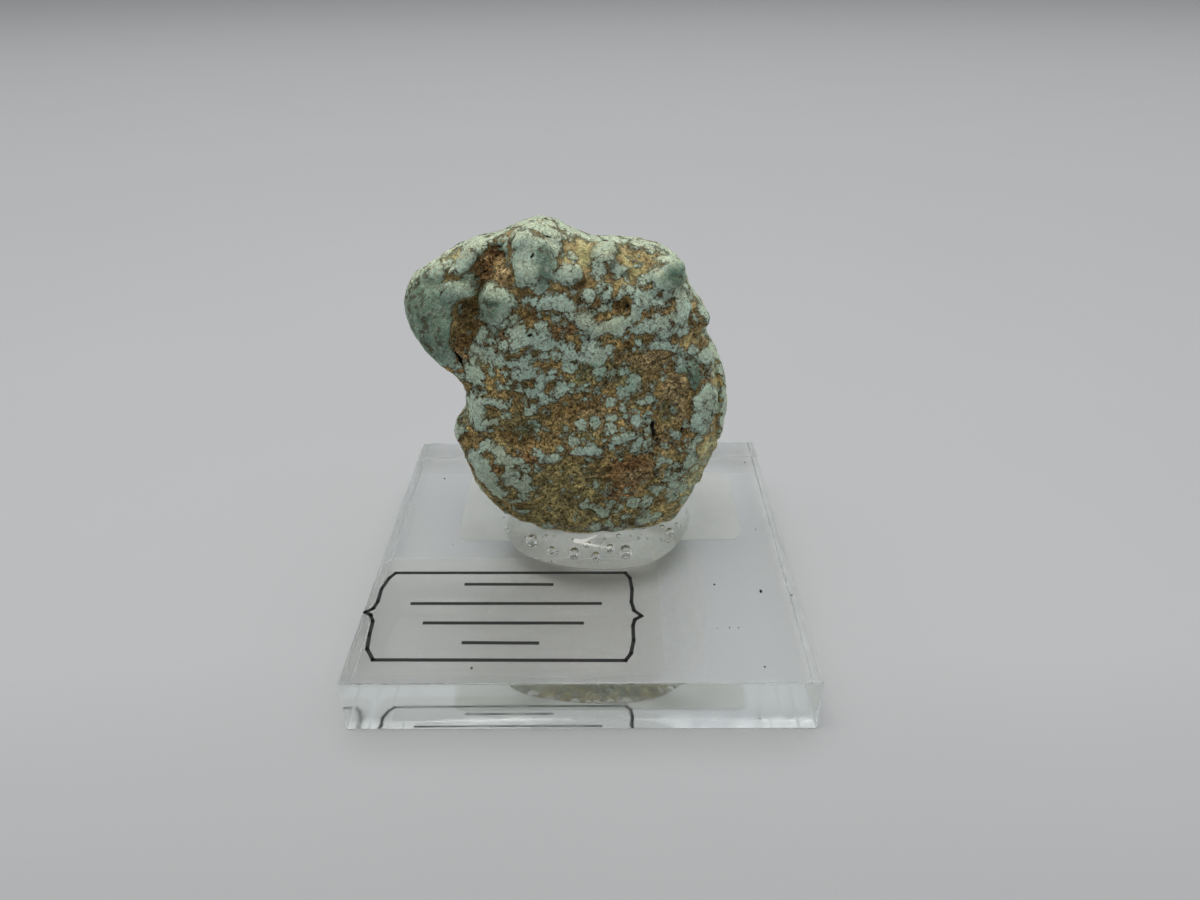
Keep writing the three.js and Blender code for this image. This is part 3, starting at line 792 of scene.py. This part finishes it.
def matrix_look(s):
    """The matrix: grains light and dark, cream beside the flakes, with painted shade in the crevices at
    their feet.
    """
    matrix = s.attribute("matrix_colour", "Color")
    grainy = s.attribute("grainy")
    soft_matrix = s.mix(s.spread(s.broad, 0.42, 0.62, 0.5, 0.0), matrix, rgb(0.46, 0.31, 0.13))
    matrix = s.toned(matrix, s.spread(s.grain_chance, 0.0, 1.0, 0.25, 1.50))
    matrix = s.toned(matrix, s.spread(s.finer, 0.35, 0.65, 0.50, 1.55))
    matrix = s.toned(matrix, s.spread(s.broad, 0.30, 0.70, 0.55, 1.75))
    pale = s.times(s.spread(s.finer, 0.56, 0.70, 0.0, 0.7), s.spread(s.share, 0.05, 0.25))
    matrix = s.mix(pale, matrix, rgb(0.66, 0.60, 0.40))
    matrix = s.mix(grainy, soft_matrix, matrix)
    halo = s.times(s.spread(s.height, -0.32, -0.04), s.spread(s.broad, 0.3, 0.6, 0.2, 0.85))
    halo = s.times(halo, s.spread(s.finer, 0.30, 0.60, 0.15, 0.75))
    matrix = s.mix(halo, matrix, rgb(0.60, 0.51, 0.28))
    deep = s.times(s.spread(s.fine, 0.36, 0.50, 0.9, 0.0), s.spread(grainy, 0, 1, 0.4, 1))
    matrix = s.mix(deep, matrix, rgb(0.040, 0.023, 0.009))
    # Painted shade: the matrix darkened in the crevices just below the flakes' edges.
    painted_crevice_shade = s.times(s.spread(s.height, -0.30, -0.03), s.spread(s.edge, 0.04, 0.20, 0.85, 0.0))
    return s.mix(painted_crevice_shade, matrix, rgb(0.060, 0.032, 0.012))


def crust_look(s):
    """The crust: flakes a little lighter or darker, cream at their edges, with brown grime."""
    crust = s.toned(s.attribute("crust_colour", "Color"), s.spread(s.small_chance, 0.0, 1.0, 0.84, 1.14))
    crust = s.toned(crust, s.spread(s.fine, 0.34, 0.66, 0.86, 1.16))
    # Lighter where the crust stands high, darker low down.
    crust = s.toned(crust, s.spread(s.height, 0.04, 0.42, 0.86, 1.18))
    crust = s.mix(s.spread(s.noise(0.9, 4, 0.65), 0.50, 0.70, 0.0, 0.6), crust, rgb(0.74, 0.83, 0.70))
    rim = s.times(s.spread(s.height, 0.02, 0.32, 1.0, 0.0), s.spread(s.broad, 0.3, 0.6, 0.3, 1.0))
    crust = s.mix(s.times(rim, 0.7), crust, rgb(0.70, 0.66, 0.42))
    lines = s.times(s.spread(s.small_edge, 0.015, 0.065, 0.8, 0.0), s.spread(s.broad, 0.46, 0.60))
    lines = s.times(lines, s.spread(s.smooth, 0, 1, 1, 0.3))
    crust = s.mix(lines, crust, rgb(0.15, 0.115, 0.055))
    grime = s.times(s.spread(s.fine, 0.34, 0.47, 0.65, 0.0), s.spread(s.smooth, 0, 1, 1, 0.8))
    crust = s.mix(grime, crust, rgb(0.24, 0.20, 0.095))
    crust = s.mix(s.spread(s.finer, 0.30, 0.43, 0.65, 0.0), crust, rgb(0.17, 0.15, 0.085))
    crust = s.mix(s.spread(s.finer, 0.56, 0.70, 0.0, 0.6), crust, rgb(0.88, 0.90, 0.76))
    specks = s.times(s.spread(s.noise(1.3, 5, 0.75), 0.42, 0.49, 0.9, 0.0), s.attribute("speck"))
    return s.mix(specks, crust, rgb(0.110, 0.105, 0.060))


def nugget_material():
    """The stone's colour, sheen and relief."""
    s = Stone()
    cover = s.spread(s.height, -0.035, 0.035)
    stone = s.mix(cover, matrix_look(s), crust_look(s))
    # Painted shade inside the cracks and pits, a very dark brown.
    s.set(Base_Color=s.mix(s.spread(s.attribute("painted_hole_shade"), 0.36, 0.46), stone, rgb(0.014, 0.010, 0.007)))
    s.set(Roughness=s.spread(cover, 0, 1, 0.9, 0.7))
    s.set(Specular_IOR_Level=s.spread(cover, 0, 1, 0.12, 0.28))
    relief = s.bump(s.finer, 0.12, 0.8)
    relief = s.bump(s.spread(s.grain_edge, 0.0, 0.12), 0.08, 0.6, relief)
    relief = s.bump(s.fine, 0.26, 0.9, relief)
    s.set(Normal=s.bump(s.spread(s.height, -0.25, 0.30), 0.34, 0.9, relief))
    return s.material


def make_nugget():
    points, quads, fields = nugget_shape()
    nugget = make_mesh("nugget", points, quads)
    for name, values in fields.items():
        add_field(nugget, name, values)
    finish_piece(nugget, nugget_material(), "turquoise", "turquoise_nugget")
    return nugget


# ---- clear pieces -------------------------------------------------------------------------


def clear_material(name, colour, ior):
    """Clear plastic: plain transmission with an index of refraction."""
    s = Surface(name)
    s.set(Base_Color=rgb(*colour), IOR=ior, Transmission_Weight=1.0, Roughness=0.0)
    return s


def joined(parts):
    """One list of vertices and faces from several."""
    vertices, faces = [], []
    for some_vertices, some_faces in parts:
        start = len(vertices)
        vertices.extend(np.asarray(some_vertices).tolist())
        faces.extend([[int(i) + start for i in face] for face in some_faces])
    return vertices, faces


def plate(outline, low, high):
    """A flat plate: an outline of (x, y) points, anticlockwise from above, with its own thickness."""
    count = len(outline)
    vertices = [(x, y, low) for x, y in outline] + [(x, y, high) for x, y in outline]
    faces = [list(range(count - 1, -1, -1)), list(range(count, 2 * count))]
    for i in range(count):
        j = (i + 1) % count
        faces.append([i, j, count + j, count + i])
    return vertices, faces


def rounded_rectangle(low, high, radius, steps=8):
    """The outline of a rectangle with round corners, anticlockwise."""
    middles = [(high[0], high[1]), (low[0], high[1]), (low[0], low[1]), (high[0], low[1])]
    outline = []
    for turn, (x, y) in enumerate(middles):
        cx = x - radius if turn in (0, 3) else x + radius
        cy = y - radius if turn in (0, 1) else y + radius
        for step in range(steps + 1):
            angle = (turn + step / steps) * math.pi / 2
            outline.append((cx + radius * math.cos(angle), cy + radius * math.sin(angle)))
    return outline


# The block's edges are rounded this much, and it stands this far off the floor.
BLOCK_EDGE = 0.25
BLOCK_LIFT = 0.02


def make_block():
    """The acrylic block: a polished top, duller sides, softly rounded edges and a faint tint."""
    low = np.array([BLOCK_LOW[0], BLOCK_LOW[1], BLOCK_LIFT])
    shape = bmesh.new()
    bmesh.ops.create_cube(shape, size=1.0)
    for vertex in shape.verts:
        vertex.co = Vector((low + BLOCK_HIGH) / 2 + np.array(vertex.co) * (BLOCK_HIGH - low))
    bmesh.ops.bevel(shape, geom=shape.edges[:], offset=BLOCK_EDGE, segments=5, profile=0.5,
                    affect="EDGES")
    vertices = [tuple(vertex.co) for vertex in shape.verts]
    faces = [[vertex.index for vertex in face.verts] for face in shape.faces]
    shape.free()
    block = make_mesh("block", vertices, faces, smooth=False)
    s = clear_material("clear_acrylic", (0.985, 0.995, 0.995), 1.49)
    tint = s.node("VolumeAbsorption", {"Color": rgb(0.80, 0.93, 0.91), "Density": 3.0})
    s.put(s.output.inputs["Volume"], tint.outputs[0])
    # The sawn sides are left a little dull.
    split = s.node("SeparateXYZ", {0: s.place})
    reach = s.maths("MAXIMUM", s.maths("ABSOLUTE", split.outputs["X"]),
                    s.maths("ABSOLUTE", split.outputs["Y"]))
    dull = s.spread(reach, (BLOCK_HIGH[0] - 0.4) * MM, (BLOCK_HIGH[0] - 0.1) * MM)
    streaks = s.spread(s.noise(3.5, 4, 0.6), 0.3, 0.7, 0.05, 0.16)
    s.set(Roughness=s.times(dull, streaks))
    finish_piece(block, s.material, "clear_acrylic", "acrylic_block")


# ---- the labels ---------------------------------------------------------------------------

FILM_LOW, FILM_HIGH = box_mm("clear_label")
PAPER_LOW, PAPER_HIGH = box_mm("paper_label")
FILM_CORNER = 2.5
PAPER_CORNER = 3.0
PAPER_THICKNESS = 0.15
# How far the film and its print reach below and above the block's top.
FILM_REACH = (-0.01, 0.1)
INK_REACH = (-0.03, 0.13)
INK_WIDTH = 0.62

# The printed frame: straight top and bottom, and wavy ends that come to a small point.
BORDER = [
    (-33.1, -32.3), (-34.6, -29.8), (-35, -26.4), (-35.2, -23.2), (-35.9, -21.6), (-37, -20.8),
    (-35.9, -19.9), (-35.5, -18.2), (-35.6, -14.6), (-34.9, -11.6), (-34, -10.1),
    (7.5, -10.3), (8.3, -11.8), (8.6, -15), (8.4, -18.4), (8.8, -20.6), (10, -22),
    (8.9, -22.9), (8.5, -24.4), (8.5, -28), (8, -31), (7.1, -32.6),
]
# Each plain ruled line stands where a line of print would: Y and half length. Each falls a little
# to the right, as the label is stuck on askew.
RULED_LINES = [(-13.4, 7.6), (-18.6, 16.2), (-23.6, 13.2), (-28.4, 6)]
LINE_MIDDLE = -13.2
LINE_FALL = 0.15


def above_block(reach):
    """Heights above the block's top, as Z."""
    return [BLOCK_TOP + height for height in reach]


def make_clear_label():
    """The film stuck on the block's top, and the frame and lines printed on it."""
    outline = rounded_rectangle(FILM_LOW[:2], FILM_HIGH[:2], FILM_CORNER)
    film = make_mesh("clear_label_film", *plate(outline, *above_block(FILM_REACH)), smooth=False)
    # The film is bonded to the block, so almost nothing is reflected where they meet: hence its
    # low index. A trace of white keeps it faintly visible.
    s = clear_material("label_film", (0.95, 0.945, 0.925), 1.1)
    s.set(Transmission_Weight=0.94)
    finish_piece(film, s.material, "label_film", "clear_label")

    strokes = list(zip(BORDER, BORDER[1:] + BORDER[:1]))
    for y, half in RULED_LINES:
        strokes.append(((LINE_MIDDLE - half, y), (LINE_MIDDLE + half, y - LINE_FALL)))
    ink = make_mesh("label_print", *joined([bar(a, b) for a, b in strokes]), smooth=False)
    s = Surface("printed_ink")
    tone = s.spread(s.noise(0.35, 3, 0.6), 0.3, 0.75)
    s.set(Base_Color=s.mix(tone, rgb(0.010, 0.010, 0.011), rgb(0.035, 0.035, 0.035)), Roughness=0.7)
    finish_piece(ink, s.material, "label_film")


def bar(a, b):
    """A straight stroke of ink from a to b."""
    a, b = np.array(a), np.array(b)
    reach = (b - a) / np.linalg.norm(b - a) * INK_WIDTH / 2
    side = np.array([-reach[1], reach[0]])
    outline = [a - reach - side, b + reach - side, b + reach + side, a - reach + side]
    return plate([tuple(point) for point in outline], *above_block(INK_REACH))


def make_paper_label():
    """The paper label under the block, with the patches where its glue has wetted the paper."""
    outline = rounded_rectangle(PAPER_LOW[:2], PAPER_HIGH[:2], PAPER_CORNER)
    paper = make_mesh("paper_label", *plate(outline, 0.0, PAPER_THICKNESS), smooth=False)
    s = Surface("label_paper")
    blotch = s.spread(s.noise(9, 4, 0.6), 0.35, 0.7)
    colour = s.mix(blotch, rgb(0.84, 0.835, 0.80), rgb(0.93, 0.93, 0.915))
    colour = s.mix(s.spread(s.noise(0.6, 3, 0.6), 0.4, 0.7, 0, 0.25), colour, rgb(0.78, 0.78, 0.76))
    s.set(Base_Color=colour, Roughness=0.7)
    finish_piece(paper, s.material, "label_paper", "paper_label")


# ---- the glue -----------------------------------------------------------------------------

# Where the glue ends on the block's top (X, Y, anticlockwise from the left).
GLUE_OUTLINE = [
    (-15.4, 5), (-14.9, 1.4), (-12, -3.9), (-6.2, -7.3), (1.1, -9.1), (8.4, -8.8), (14, -5.9),
    (18.1, -0.3), (20.2, 5.2), (20.4, 10.4), (17.2, 15.4), (11.4, 18.6), (3.6, 19.9), (-4.6, 18.8),
    (-11.4, 15.2), (-14.6, 10.2),
]
GLUE_CENTRE = np.array([2.7, 5.4])
GLUE_RISE = 4.3
GLUE_SINK = 0.05

# Larger bubbles near the front: X, Y, Z above the block, radius.
BUBBLES = [
    (-9.6, -2.7, 1.7, 1.15), (-1.7, -6.4, 1.5, 1.05), (2.2, -7, 1.3, 0.8), (0.7, -5, 2.2, 0.62),
    (4.8, -5.6, 1.8, 0.8), (3.8, -4.5, 2.6, 0.45), (6.3, -3.4, 2.9, 0.5), (7.6, -6.2, 1.6, 1.2),
    (-5.9, -5.2, 1.4, 0.7), (-6.9, -2.8, 2.4, 0.5), (15.7, -0.2, 1.7, 0.9), (15.4, -2.2, 1.2, 0.42),
    (16.9, 2, 1.9, 0.55), (14.2, 0.4, 2.5, 0.5), (9, -1.2, 3.2, 0.36), (10.9, -1.4, 3, 0.36),
]
SMALL_BUBBLES = 70


def glue_height(x, y, edge_gap, wall_gap):
    """Height of the glue's skin above the block, from the gaps to its own edge and the stone."""
    rounded = GLUE_RISE * (1 - np.exp(-edge_gap / 1.7)) ** 0.8
    climb = 1.5 * np.exp(-np.clip(wall_gap, 0, None) / 0.9)
    side = 2.4 * np.exp(-(((x - 17.5) / 3.0) ** 2 + ((y - 4.0) / 4.5) ** 2))
    ripple = 0.12 * perlin(np.stack([x, y, 0 * x], 1), 4.0, 80)
    return rounded + (climb + side + ripple) * smoothstep(0, 3.0, edge_gap)


def stone_section(nugget_points, angle):
    """How far the stone reaches from the glue's centre in each direction, near the block."""
    low = nugget_points[(nugget_points[:, 2] > 12.5) & (nugget_points[:, 2] < 15.5)]
    offset = low[:, :2] - GLUE_CENTRE
    turn = np.arctan2(offset[:, 1], offset[:, 0])
    reach = np.linalg.norm(offset, axis=1)
    bins = 72
    slot = ((turn + math.pi) / (2 * math.pi) * bins).astype(int) % bins
    most = np.zeros(bins)
    np.maximum.at(most, slot, reach)
    middles = (np.arange(bins) + 0.5) / bins * 2 * math.pi - math.pi
    return np.interp(angle, middles, most, period=2 * math.pi)


def make_glue(nugget_points):
    """The pool of clear glue round the stone's foot, with the air bubbles caught in it."""
    segments, rings = 144, 46
    angle = np.arange(segments) / segments * 2 * math.pi - math.pi
    reach = outline_reach(GLUE_OUTLINE, GLUE_CENTRE, angle)
    wall = stone_section(nugget_points, angle)
    inward = np.linspace(0, 1, rings) ** 2
    vertices = []
    for share in inward:
        radius = reach * (1 - share)
        x = GLUE_CENTRE[0] + radius * np.cos(angle)
        y = GLUE_CENTRE[1] + radius * np.sin(angle)
        height = glue_height(x, y, reach - radius, radius - wall)
        height = np.where(share == 0, -GLUE_SINK, height)
        vertices.append(np.stack([x, y, BLOCK_TOP + height], 1))
    peak = vertices.pop().mean(axis=0)
    foot = (*GLUE_CENTRE, BLOCK_TOP - GLUE_SINK)
    vertices = np.concatenate(vertices + [[peak], [foot]])
    at_peak, at_foot = len(vertices) - 2, len(vertices) - 1
    faces = []
    for ring in range(rings - 2):
        for i in range(segments):
            j = (i + 1) % segments
            a, b = ring * segments, (ring + 1) * segments
            faces.append([a + i, a + j, b + j, b + i])
    last = (rings - 2) * segments
    for i in range(segments):
        j = (i + 1) % segments
        faces.append([last + i, last + j, at_peak])
        faces.append([j, i, at_foot])

    glue = make_mesh("glue", *joined([(vertices, faces)] + bubbles(angle, reach, wall)))
    # The flat foot is shaded flat, or it would bend the light that passes it.
    for polygon in glue.data.polygons:
        if at_foot in polygon.vertices[:]:
            polygon.use_smooth = False
    s = clear_material("clear_glue", (0.985, 0.985, 0.98), 1.48)
    s.set(Normal=s.bump(s.noise(3.2, 2, 0.5), 0.05, 0.3))
    finish_piece(glue, s.material, "clear_glue", "glue_bead")


def bubbles(angle, reach, wall):
    """Air bubbles: small balls that face inward."""
    rng = np.random.default_rng(SEED)
    directions, quads = box_of_directions(6, 6)
    parts = []
    places = [(x, y, BLOCK_TOP + z, radius) for x, y, z, radius in BUBBLES]
    for _ in range(SMALL_BUBBLES):
        turn = rng.uniform(-math.pi, math.pi)
        outer = np.interp(turn, angle, reach, period=2 * math.pi)
        inner = np.interp(turn, angle, wall, period=2 * math.pi)
        distance = inner + rng.uniform(0.2, 0.55) * max(outer - inner, 1.0) - 0.6
        place = GLUE_CENTRE + distance * np.array([math.cos(turn), math.sin(turn)])
        places.append((*place, BLOCK_TOP + rng.uniform(0.6, 3.4), rng.uniform(0.12, 0.34)))
    for x, y, z, radius in places:
        parts.append((np.array([x, y, z]) + directions * radius, quads[:, ::-1]))
    return parts


# ---- dust ---------------------------------------------------------------------------------

# Specks lying on the block and caught in the glue: X, Y, height above the block, size.
SPECKS = [
    (31.1, -15.7, 0, 0.55), (23.2, -13.7, 0, 0.3), (36.3, -16.8, 0, 0.35), (28.9, -34.1, 0, 0.35),
    (-17.1, -34.3, 0, 0.4), (26, -25, 0, 0.22), (24.5, -25, 0, 0.2), (22.5, -25.1, 0, 0.2),
    (-25, -1.5, 0, 0.22), (33, 3, 0, 0.25), (-5.9, -8.2, 1.1, 0.3), (16.6, 4.7, 6.6, 0.45),
    (-30.2, 22, 0, 0.3), (12.6, 30.4, 0, 0.26), (-9.5, 29.2, 0, 0.22), (34.4, 28.2, 0, 0.3),
]


def make_dust():
    """Dark specks: dented grains a fraction of a millimetre across."""
    directions, quads = box_of_directions(4, 4)
    rng = np.random.default_rng(SEED + 1)
    parts = []
    for x, y, height, size in SPECKS:
        stretch = rng.uniform(0.7, 1.3, 3) * size / 2
        dents = 1 + 0.35 * perlin(directions * 3 + 9 * len(parts), 2.0, 90)
        grain = directions * dents[:, None] * stretch
        parts.append((grain + (x, y, BLOCK_TOP + height + stretch[2] * 0.6), quads))
    dust = make_mesh("dust_specks", *joined(parts))
    s = Surface("dust")
    tone = s.spread(s.noise(2.5, 2, 0.5), 0.4, 0.6)
    s.set(Base_Color=s.mix(tone, rgb(0.02, 0.02, 0.022), rgb(0.09, 0.045, 0.03)), Roughness=0.9)
    finish_piece(dust, s.material, "clear_acrylic")


# ---- stage and light ----------------------------------------------------------------------

FLOOR_HALF = 4000


def make_floor():
    """A plain pale floor, a touch darker toward the viewer and far behind: a painted shadow in front and a
    painted falloff of light far away.
    """
    corners = np.array([(-1, -1, 0), (1, -1, 0), (1, 1, 0), (-1, 1, 0)]) * FLOOR_HALF
    floor = make_mesh("floor", corners, [[0, 1, 2, 3]], smooth=False)
    s = Surface("floor")
    depth = s.node("SeparateXYZ", {0: s.place}).outputs["Y"]
    pale = s.mix(s.noise(60, 3, 0.5), rgb(0.635, 0.640, 0.650), rgb(0.655, 0.658, 0.664))
    # Painted shadow in front of the block, toward the viewer.
    near = s.spread(depth, -0.10, -0.02, 0.78, 1.0)
    # Painted falloff of light far behind.
    far = s.spread(depth, 0.5, 2.2, 1.0, 0.92)
    s.set(Base_Color=s.toned(pale, s.times(near, far)), Roughness=0.85, Specular_IOR_Level=0.2)
    floor.data.materials.append(s.material)


def make_light(name, place, target, size, power, colour=(1, 1, 1)):
    """A rectangular soft light; its place and size are in millimetres."""
    data = bpy.data.lights.new(name, "AREA")
    data.shape = "RECTANGLE"
    data.size, data.size_y = size[0] * MM, size[1] * MM
    data.energy = power
    data.color = colour
    light = bpy.data.objects.new(name, data)
    light.location = Vector(place) * MM
    aim = Vector(target) - Vector(place)
    light.rotation_euler = aim.to_track_quat("-Z", "Y").to_euler()
    bpy.context.scene.collection.objects.link(light)


def make_lights():
    """A wide overhead softbox in a pale tent that is open, and so darker, toward the viewer. The
    lamp is small enough to leave a glint on the glue."""
    make_light("tent_top", (0, 250, 1300), (0, 250, 0), (2200, 1900), 9.5)
    make_light("lamp", (-50, -55, 420), (0, 0, 0), (210, 45), 0.21, (1.0, 0.95, 0.86))
    world = bpy.data.worlds.new("tent")
    world.use_nodes = True
    tree = world.node_tree
    shade = tree.nodes["Background"]
    shade.inputs["Color"].default_value = rgb(0.95, 0.975, 1.0)
    place = tree.nodes.new("ShaderNodeTexCoord")
    split = tree.nodes.new("ShaderNodeSeparateXYZ")
    ramp = tree.nodes.new("ShaderNodeMapRange")
    for key, value in {"From Min": -0.7, "From Max": 0.1, "To Min": 0.22, "To Max": 0.46}.items():
        ramp.inputs[key].default_value = value
    tree.links.new(place.outputs["Generated"], split.inputs[0])
    tree.links.new(split.outputs["Y"], ramp.inputs["Value"])
    tree.links.new(ramp.outputs[0], shade.inputs["Strength"])
    bpy.context.scene.world = world


def set_rendering():
    """Plain colours, and enough bounces for light to cross the clear pieces."""
    scene = bpy.context.scene
    scene.view_settings.view_transform = "Standard"
    scene.view_settings.look = "None"
    scene.cycles.max_bounces = 28
    scene.cycles.glossy_bounces = 24
    scene.cycles.transmission_bounces = 24
    scene.cycles.blur_glossy = 0.0


# ---- the whole ----------------------------------------------------------------------------

nugget = make_nugget()
make_block()
make_clear_label()
make_paper_label()
make_glue(np.array([vertex.co for vertex in nugget.data.vertices]) / MM)
make_dust()
make_floor()
make_lights()
make_camera()
set_rendering()
